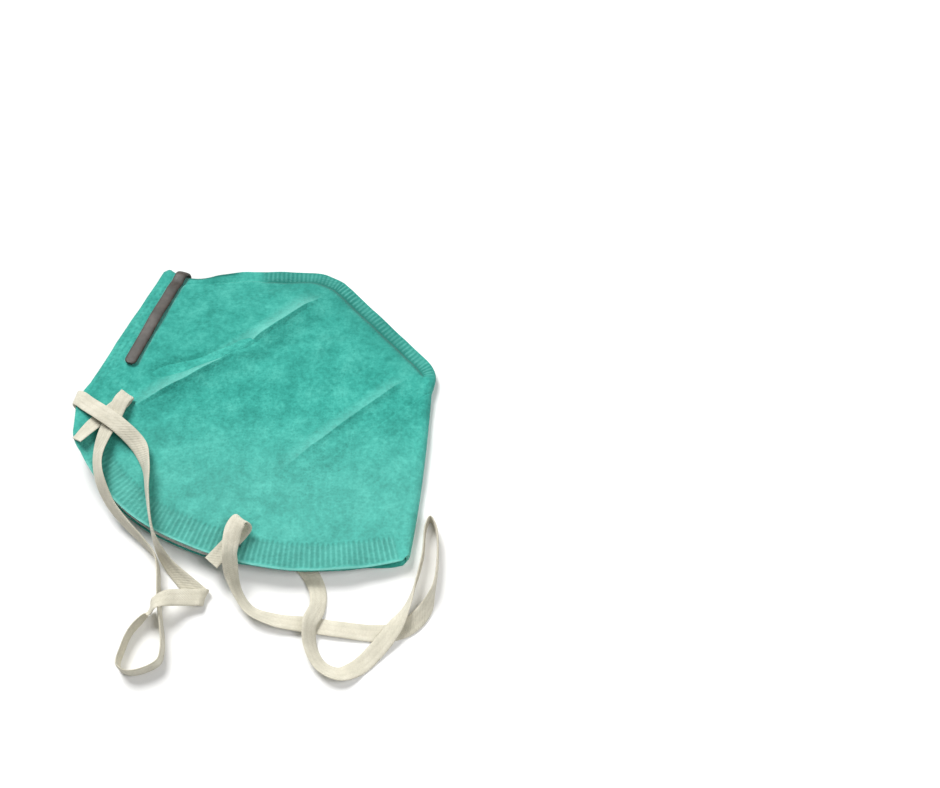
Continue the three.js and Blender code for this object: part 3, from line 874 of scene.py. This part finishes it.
def smooth_line(points, steps, timing):
    """A smooth line through points."""
    points = np.asarray(points, dtype=float)
    padded = np.concatenate([[2 * points[0] - points[1]], points, [2 * points[-1] - points[-2]]])
    t = (np.arange(steps) / steps)[:, None]
    spans = []
    for p0, p1, p2, p3 in zip(padded, padded[1:], padded[2:], padded[3:]):
        d0, d1, d2 = (np.linalg.norm(b - a) ** timing for a, b in ((p0, p1), (p1, p2), (p2, p3)))
        start = ((p1 - p0) / d0 - (p2 - p0) / (d0 + d1) + (p2 - p1) / d1) * d1
        end = ((p2 - p1) / d1 - (p3 - p1) / (d1 + d2) + (p3 - p2) / d2) * d1
        spans.append((2 * t**3 - 3 * t**2 + 1) * p1 + (t**3 - 2 * t**2 + t) * start
                     + (3 * t**2 - 2 * t**3) * p2 + (t**3 - t**2) * end)
    return np.concatenate(spans + [points[-1:]])


def strap_stations(route):
    """The strap's middle line, and the direction of its width at each station."""
    points, sides = [], []
    for x, y, over, clear, heading_degrees, lean_degrees in route:
        heading = math.radians(heading_degrees)
        lean = math.radians(lean_degrees)
        points.append((x, y, strap_height(x, y, over, clear, lean)))
        flat = math.cos(lean)
        sides.append((flat * math.cos(heading), flat * math.sin(heading), math.sin(lean)))
    line = smooth_line(points, STRAP_STEPS_PER_SPAN, BY_DISTANCE)
    side = unit(smooth_line(sides, STRAP_STEPS_PER_SPAN, EVENLY))
    line[:, 2] = np.maximum(line[:, 2], LEAST_CLEAR["floor"] + half_height(side[:, 2]))
    return line, side


def strip_frame(line, side):
    """The width and the face direction of a strip at each station, square to the way that it runs."""
    ahead = unit(np.gradient(line, axis=0))
    flat = unit(side - np.sum(side * ahead, axis=1, keepdims=True) * ahead)
    return flat, np.cross(ahead, flat)


def strip_mesh(line, side, width, thick, outline):
    """Points and faces of a strip with a closed outline, given in halves of its width and thickness."""
    flat, up = strip_frame(line, side)
    across = outline[None, :, 0, None] * np.reshape(width, (-1, 1, 1)) / 2
    over = outline[None, :, 1, None] * thick / 2
    points = (line[:, None, :] + across * flat[:, None, :] + over * up[:, None, :]).reshape(-1, 3)
    count = len(outline)
    at = np.arange(len(line) * count).reshape(len(line), count)
    sides = grid_faces(np.concatenate([at, at[:, :1]], axis=1))
    return points, sides + [at[0, ::-1].tolist(), at[-1].tolist()]


def strap_outline():
    """The ribbed section of a strap, along its upper face and back along its lower one, and its grooves."""
    across = np.cos(np.linspace(0.0, math.pi, STRAP_ACROSS_STEPS + 1))
    body = np.sqrt(1.0 - np.abs(across) ** STRAP_EDGE_POWER)
    groove = (0.5 + 0.5 * np.cos(math.pi * STRAP_BANDS * (across + 1.0))) ** STRAP_GROOVE_SHARPNESS
    face = body * (1.0 - STRAP_GROOVE * groove)
    upper = np.stack([across, face], axis=1)
    lower = np.stack([across[::-1], -face[::-1]], axis=1)[1:-1]
    return np.concatenate([upper, lower]), np.concatenate([groove, groove[::-1][1:-1]])


def set_attribute(piece, name, values):
    """One number for each point of a piece, for its material to read."""
    layer = piece.data.attributes.new(name, "FLOAT", "POINT")
    layer.data.foreach_set("value", np.asarray(values, dtype=np.float32))


def make_strap(name, node, route):
    line, side = strap_stations(route)
    outline, groove = strap_outline()
    points, faces = strip_mesh(line, side, STRAP_WIDTH, STRAP_THICK, outline)
    strap = make_piece(name, points, faces, node, ELASTIC, STRAP_SMOOTH_ANGLE)
    # Painted shade in the grooves, as deep as each groove
    set_attribute(strap, "pressed_and_painted_shade", np.tile(groove * STRAP_GROOVE_SHADE, len(line)))
    run = Line(line).run / STRAP_WIDTH
    over = np.stack([np.tile(outline[:, 0] / 2, len(line)), np.repeat(run, len(outline))], axis=1)
    layer = strap.data.uv_layers.new(name="along")
    corners = np.empty(len(strap.data.loops), dtype=np.int32)
    strap.data.loops.foreach_get("vertex_index", corners)
    layer.data.foreach_set("uv", over[corners].ravel().astype(np.float32))


make_strap("upper_strap_band", "upper_strap", UPPER_STRAP)
make_strap("lower_strap_band", "lower_strap", LOWER_STRAP)


# Wrinkles of the cloth, each along a line seen from above. A height below zero is a valley. It fades out
# over one distance to the left of its line and another to the right.
@dataclass
class Wrinkle:
    line: list
    height: float
    left: float
    right: float


WRINKLES = [
    Wrinkle([(-0.0438, 0.0098), (-0.0267, 0.0150), (-0.0114, 0.0219), (0.0008, 0.0290)],
            -0.0023, 0.0028, 0.0022),
    Wrinkle([(-0.0105, 0.0188), (0.0010, 0.0186), (0.0115, 0.0175)], -0.0006, 0.0016, 0.0026),
    Wrinkle([(0.0069, 0.0245), (0.0209, 0.0284), (0.0366, 0.0293)], -0.0006, 0.0016, 0.0028),
    Wrinkle([(0.0212, 0.0240), (0.0313, 0.0227)], -0.0005, 0.0014, 0.0022),
    Wrinkle([(0.0364, 0.0167), (0.0425, 0.0128)], -0.0005, 0.0014, 0.0022),
]
WRINKLE_TAPER = 0.20


def wrinkle_relief(spots):
    height = np.zeros(len(spots))
    for wrinkle in WRINKLES:
        line = Line(smooth_line(wrinkle.line, WRINKLE_STEPS, BY_DISTANCE))
        gap, run = line.nearest(spots)
        fade = np.where(gap > 0.0, wrinkle.left, wrinkle.right)
        share = run / line.run[-1]
        taper = smoothstep(share, 0.0, WRINKLE_TAPER) * (1.0 - smoothstep(share, 1.0 - WRINKLE_TAPER, 1.0))
        height += wrinkle.height * taper * np.exp(-((gap / fade) ** 2))
    return height


def soft_relief(spots):
    dice = np.random.default_rng(WAVE_SEED)
    height = np.zeros(len(spots))
    for _ in range(WAVE_COUNT):
        turn = dice.uniform(0.0, 2.0 * math.pi)
        phase = dice.uniform(0.0, 2.0 * math.pi)
        length = dice.uniform(*WAVE_LENGTHS)
        along = spots @ np.array([math.cos(turn), math.sin(turn)])
        height += length * np.sin(2.0 * math.pi * along / length + phase)
    return height * SOFT_RELIEF / (np.mean(WAVE_LENGTHS) * math.sqrt(WAVE_COUNT / 2))


def band(value, low, high, soft):
    return smoothstep(value, low - soft, low + soft) * (1.0 - smoothstep(value, high - soft, high + soft))


def ribs(run, pitch):
    """One narrow rib in each pitch, from 0 between the ribs to 1 on them."""
    return (0.5 + 0.5 * np.cos(2.0 * math.pi * run / pitch)) ** RIB_SHARPNESS


def chin_ladder(gap, run):
    """The ladder along the chin's face edge, with a row of marks behind it and a pale rim before it."""
    inside = band(run, *LADDER_FROM_TO, LADDER_END_SOFT)
    ladder = inside * band(gap, LADDER_MARGIN, LADDER_WIDTH, LADDER_SOFT)
    rib = ladder * ribs(run, LADDER_PITCH)
    border = inside * band(gap, LADDER_WIDTH, LADDER_WIDTH + BORDER_WIDTH, BORDER_SOFT)
    border *= ribs(run + LADDER_PITCH / 2, LADDER_PITCH)
    rim = inside * (1.0 - smoothstep(gap, *RIM_FROM_TO))
    depth = LADDER_DEPTH * (ladder - rib) + BORDER_DEPTH * border
    dark = LADDER_SHADE * (ladder - rib) + BORDER_SHADE * border
    return depth, dark, LADDER_PALE * rib + RIM_PALE * rim


def nose_dots(gap, run):
    """Rows of dots along the nose's face edge."""
    dots = band(run, *DOT_FROM_TO, DOT_END_SOFT) * band(gap, *DOT_BAND, DOT_SOFT)
    dots *= ribs(run, DOT_PITCH) * ribs(gap, DOT_PITCH)
    return DOT_DEPTH * dots, DOT_SHADE * dots, 0.0


def front_seam(gap, run):
    """The ribbed lip of the front seam, the valley behind it with painted shade on the slope there, and a
    painted shadow along the edge beside the clip.
    """
    seam = band(run, *LIP_FROM_TO, SEAM_END_SOFT)
    lip = seam * band(gap, LIP_MARGIN, WELD_WIDTH - LIP_MARGIN, LIP_SOFT)
    rib = lip * ribs(run, LIP_PITCH)
    valley = seam * np.exp(-(((gap - WELD_WIDTH - VALLEY_BEHIND) / VALLEY_WIDTH) ** 2))
    # A painted shadow along the top edge beside the clip
    edge_shadow = band(run, *NOSE_EDGE_SHADOW_FROM_TO, SEAM_END_SOFT) * (1.0 - smoothstep(gap, NOSE_EDGE_SHADOW_WIDTH / 2, NOSE_EDGE_SHADOW_WIDTH))
    # Painted shade on the front slope behind the seam
    painted_shade = SEAM_PAINTED_SHADE * seam * (1.0 - smoothstep(gap, *SEAM_PAINTED_SHADE_FROM_TO))
    depth = LIP_DEPTH * (lip - rib) + VALLEY_DEPTH * valley
    dark = LIP_SHADE * (lip - rib) + VALLEY_SHADE * valley + NOSE_EDGE_SHADOW_SHADE * edge_shadow + painted_shade
    return depth, dark, LIP_PALE * rib


def clip_rim(gap, run):
    """The pale rim that the clip has pressed into the cloth round it."""
    rim = band(gap, 0.0, CLIP_WIDTH / 2 + CLIP_RIM, CLIP_RIM_SOFT) * smoothstep(run, 0.0, CLIP_WIDTH / 2)
    return 0.0, 0.0, CLIP_RIM_PALE * rim


# Painted shade, darker towards the nose, and painted light, paler towards the chin
def painted_shading(y):
    painted_shade = NOSE_PAINTED_SHADE * smoothstep(y, *NOSE_PAINTED_SHADE_FROM_TO)
    light = CHIN_PAINTED_LIGHT * (1.0 - smoothstep(y, *CHIN_PAINTED_LIGHT_FROM_TO))
    return 0.0, painted_shade, light


def embossing(spots):
    """How deep each spot is pressed, how dark its pressing and painted shade make it, and how pale its marks
    and painted light make it.
    """
    clip_line = Line(np.array([CLIP_TIP, CLIP_BEND]))
    along = [(face_edge, [chin_ladder, nose_dots]), (front_edge, [front_seam]), (clip_line, [clip_rim])]
    marks = [painted_shading(spots[:, 1])]
    for line, kinds in along:
        gap, run = line.nearest(spots)
        marks += [kind(np.abs(gap), run) for kind in kinds]
    depth, dark, pale = (sum(values) for values in zip(*marks))
    return depth, np.clip(dark, 0.0, 1.0), np.clip(pale, 0.0, 1.0)


# Cloth skins
def lip_height(q, reach):
    """Height of the front seam off its middle: a thin welded lip, and the cloth that rises behind it."""
    edge = np.sqrt(1.0 - (1.0 - np.clip(q / WELD_EDGE, 0.0, 1.0)) ** 2)
    behind = np.clip((q - WELD_WIDTH) / (reach - WELD_WIDTH), 0.0, 1.0)
    return WELD_HALF * edge + (FOLD_HALF - WELD_HALF) * (1.0 - (1.0 - behind) ** WELD_SWELL)


def fold_profile(rows, turn, depth):
    """Distance from the front edge and height off the middle at each share of the fold's quarter turn."""
    reach = rows.reach / rows.slant
    start = depth + rows.weld * (WELD_WIDTH + WELD_ROOT) if depth else 0.0
    out = 1.0 - np.cos(turn * math.pi / 2)
    q = lerp(start, reach, out)
    h = (FOLD_HALF - depth) * np.sin(turn * math.pi / 2)
    if not depth:
        h = lerp(h, lip_height(q, np.maximum(reach, WELD_WIDTH + WELD_RISE)), rows.weld)
    return q * rows.slant, h


def spread(count):
    """Shares of the way from the front fold to the face edge, closer together near the edge."""
    even = np.linspace(0.0, 1.0, count + 1)[1:]
    return lerp(even, 1.0 - (1.0 - even) ** 2, EDGE_CROWDING)


def half_skin(rows, depth, fold_count, share_count, upper):
    """One half of a skin at a depth inside the outer face, from behind the front edge to the face edge."""
    turn = np.linspace(0.0, 1.0, fold_count + 1)[1:]
    share = spread(share_count)
    fold_q, fold_h = fold_profile(rows, turn, depth)
    middle = rows.lift(0.0) + FOLD_HALF
    end = rows.length - rows.edge_inset(depth, upper)
    share_q = lerp(rows.reach, end, share)
    layer = depth * lerp(EDGE_THIN, 1.0, smoothstep(rows.length - share_q, 0.0, EDGE_THIN_WIDTH))
    if upper:
        share_z = rows.top(share) + cloth_crease_height(rows.row, share) - layer
        fold_z = middle + fold_h
    else:
        share_z = rows.lift(share) + layer
        fold_z = middle - fold_h
    spots = rows.spots(np.concatenate([fold_q, share_q], axis=1))
    heights = np.concatenate([fold_z, share_z], axis=1)
    return np.concatenate([spots, heights[..., None]], axis=2)


def tip_column(rows, depth):
    q, _ = fold_profile(rows, np.zeros(1), depth)
    heights = rows.lift(0.0) + FOLD_HALF
    return np.concatenate([rows.spots(q), heights[..., None]], axis=2)


def skin(rows, depth, lower_counts, upper_counts):
    lower = half_skin(rows, depth, *lower_counts, upper=False)
    upper = half_skin(rows, depth, *upper_counts, upper=True)
    return np.concatenate([lower[:, ::-1], tip_column(rows, depth), upper], axis=1)


def emboss(outer, tip):
    """Press the relief into an outer skin whose column number tip is its front edge."""
    shape = outer.shape[:2]
    spots = outer[..., :2].reshape(-1, 2)
    depth, dark, pale = (values.reshape(shape) for values in embossing(spots))
    uneven = soft_relief(spots).reshape(shape)
    wrinkles = wrinkle_relief(spots).reshape(shape)
    outer[:, tip + 1:, 2] += (uneven + wrinkles - depth)[:, tip + 1:]
    outer[:, :tip, 2] += (depth - uneven)[:, :tip]
    outer[..., 2] = np.maximum(outer[..., 2], 0.0)
    return dark, pale


def wall_faces(outer_shape, inner_shape):
    """Faces of a cloth wall between an outer and an inner skin, closed at its open edges and its ends."""
    outer = np.arange(outer_shape[0] * outer_shape[1]).reshape(outer_shape)
    inner = outer.size + np.arange(inner_shape[0] * inner_shape[1]).reshape(inner_shape)
    faces = grid_faces(outer) + [face[::-1] for face in grid_faces(inner)]
    near = [outer[:-1, 0], outer[1:, 0], inner[1:, 0], inner[:-1, 0]]
    far = [outer[:-1, -1], inner[:-1, -1], inner[1:, -1], outer[1:, -1]]
    for corners in (near, far):
        faces += np.stack(corners, axis=-1).tolist()
    faces += zipped(outer[0].tolist(), inner[0].tolist())
    faces += zipped(inner[-1].tolist(), outer[-1].tolist())
    return faces


def panel_rows(counts, fine=()):
    """Rows evenly across each panel, with finer ones along each crease."""
    panels = [np.linspace(k, k + 1, count, endpoint=False) for k, count in enumerate(counts)]
    rows = np.concatenate(panels + [[float(len(counts))]])
    for low, high, count in fine:
        rows = np.concatenate([rows[rows < low], np.linspace(low, high, count), rows[rows > high]])
    return rows


def make_cloth(name, node, material, outer, inner):
    points = np.concatenate([outer.reshape(-1, 3), inner.reshape(-1, 3)])
    faces = wall_faces(outer.shape[:2], inner.shape[:2])
    return make_piece(name, points, faces, node, material)


def make_shell():
    rows = Rows(panel_rows(PANEL_ROWS, FINE_ROWS))
    outer = skin(rows, 0.0, SHELL_LOWER, SHELL_UPPER)
    inner = skin(rows, CLOTH, SHELL_INSIDE, SHELL_INSIDE)
    dark, pale = emboss(outer, sum(SHELL_LOWER))
    upper_count = SHELL_UPPER[1]
    # Painted highlight on the rising side of each crease
    pale[:, -upper_count:] += crease_painted_highlight(rows.row, spread(upper_count))
    shell = make_cloth("outer_shell_cloth", "outer_shell", GREEN, outer, inner)
    within = np.zeros(inner[..., 0].size)
    set_attribute(shell, "pressed_and_painted_shade", np.concatenate([dark.ravel(), within]))
    set_attribute(shell, "pale", np.concatenate([pale.ravel(), within]))


def make_lining():
    every = panel_rows(LINING_ROWS)
    within = every[(every > LINING_NOSE_END) & (every < LINING_CHIN_END)]
    rows = Rows(np.concatenate([[LINING_NOSE_END], within, [LINING_CHIN_END]]))
    outer = skin(rows, CLOTH + LAYER_GAP, LINING_COUNTS, LINING_COUNTS)
    inner = skin(rows, 2 * CLOTH + LAYER_GAP, LINING_COUNTS, LINING_COUNTS)
    lining = make_cloth("inner_lining_cloth", "inner_lining", WHITE, outer, inner)


make_shell()
make_lining()


# Nose clip and staples. A boxiness of 2 is a round outline, and more is squarer.
ROUND = 2.0


def round_outline(count, boxiness):
    turn = np.linspace(0.0, 2.0 * math.pi, count, endpoint=False)
    loop = np.stack([np.cos(turn), np.sin(turn)], axis=1)
    return np.sign(loop) * np.abs(loop) ** (2.0 / boxiness)


def clip_leg(height):
    share = (np.arange(CLIP_LEG_STEPS + 1) / CLIP_LEG_STEPS) ** CLIP_TIP_CROWDING
    spots = lerp(CLIP_TIP, CLIP_BEND, share[:, None])
    from_tip = share * np.linalg.norm(CLIP_BEND - CLIP_TIP)
    narrow = np.maximum(0.0, 1.0 - (from_tip + CLIP_TIP_FLAT) / (CLIP_WIDTH / 2))
    points = np.array([(x, y, height(x, y)) for x, y in spots])
    return points, CLIP_WIDTH * np.sqrt(1.0 - narrow**2)


def make_clip():
    stand = CLIP_GAP + CLIP_THICK / 2
    lower, width = clip_leg(lambda x, y: underside_at(x, y) - stand)
    upper, _ = clip_leg(lambda x, y: top_at(x, y) + stand)
    ahead = unit(CLIP_BEND - CLIP_TIP)
    bottom, top = lower[-1, 2], upper[-1, 2]
    angle = math.pi * np.arange(1, CLIP_BEND_STEPS) / CLIP_BEND_STEPS
    out = CLIP_BEND_REACH * (top - bottom) / 2 * np.sin(angle)
    height = (top + bottom) / 2 - (top - bottom) / 2 * np.cos(angle)
    bend = np.column_stack([CLIP_BEND + out[:, None] * ahead, height])
    line = np.concatenate([lower, bend, upper[::-1]])
    widths = np.concatenate([width, np.full(len(bend), CLIP_WIDTH), width[::-1]])
    side = np.tile([ahead[1], -ahead[0], 0.0], (len(line), 1))
    outline = round_outline(CLIP_OUTLINE_STEPS, CLIP_BOXINESS)
    outline[outline[:, 1] < 0.0, 1] *= 1.0 + 2.0 * CLIP_SEAT / CLIP_THICK
    points, faces = strip_mesh(line, side, widths, CLIP_THICK, outline)
    make_piece("nose_clip_strip", points, faces, "nose_clip", CLIP)


# Staples: node, the middle of the crown seen from above, the crown's heading in degrees, and the mask's side
STAPLES = [
    ("staple_upper_top", -0.0529, -0.0065, 140, "cloth"),
    ("staple_upper_under", -0.0554, -0.0059, 232, "under"),
    ("staple_lower_top", -0.0036, -0.0534, 139, "cloth"),
    ("staple_lower_under", -0.0006, -0.0515, 76, "under"),
]


def make_staple(node, x, y, heading_degrees, over):
    heading = math.radians(heading_degrees)
    along = np.array([math.cos(heading), math.sin(heading), 0.0])
    stack = STRAP_CLEAR - STRAP_SETTLE + STRAP_THICK + STAPLE_SIT + STAPLE_WIRE / 2
    if over == "cloth":
        out, base = np.array([0.0, 0.0, 1.0]), np.array([x, y, top_at(x, y)])
    else:
        out, base = np.array([0.0, 0.0, -1.0]), np.array([x, y, underside_at(x, y)])
    half = STAPLE_CROWN / 2 - STAPLE_WIRE / 2
    turn = np.linspace(0.0, math.pi / 2, STAPLE_CORNER_STEPS)
    across = half - STAPLE_BEND * (1.0 - np.sin(turn))
    corner = np.column_stack([across, stack - STAPLE_BEND * (1.0 - np.cos(turn))])
    leg = np.array([[half, 0.0]])
    right = np.concatenate([corner, leg])
    left = right[::-1] * [-1, 1]
    profile = np.concatenate([left, right])
    line = base + profile[:, :1] * along + profile[:, 1:] * out
    side = np.tile(np.cross(out, along), (len(line), 1))
    outline = round_outline(STAPLE_OUTLINE_STEPS, ROUND)
    points, faces = strip_mesh(line, side, STAPLE_WIRE, STAPLE_WIRE, outline)
    make_piece(node + "_wire", points, faces, node, STEEL)


make_clip()
for staple in STAPLES:
    make_staple(*staple)


# Studio
def make_floor():
    ends = (-FLOOR_SIZE, FLOOR_SIZE)
    corners = [(x, y, FLOOR_HEIGHT) for y in ends for x in ends]
    floor = add_object("floor", make_mesh("floor", corners, [(0, 1, 3, 2)], floor_paint()))


def make_light(name, place, target, size, power):
    light = bpy.data.lights.new(name, "AREA")
    light.shape = "DISK"
    light.size = size
    light.energy = power
    holder = add_object(name, light)
    holder.location = place
    holder.rotation_euler = (Vector(target) - Vector(place)).to_track_quat("-Z", "Y").to_euler()


def make_world():
    world = bpy.data.worlds.new("studio")
    world.use_nodes = True
    background = world.node_tree.nodes["Background"]
    background.inputs["Color"].default_value = (1.0, 1.0, 1.0, 1.0)
    background.inputs["Strength"].default_value = WORLD_STRENGTH
    bpy.context.scene.world = world


make_floor()
make_world()
for light in LIGHTS:
    make_light(*light)
bpy.context.scene.view_settings.view_transform = "Standard"
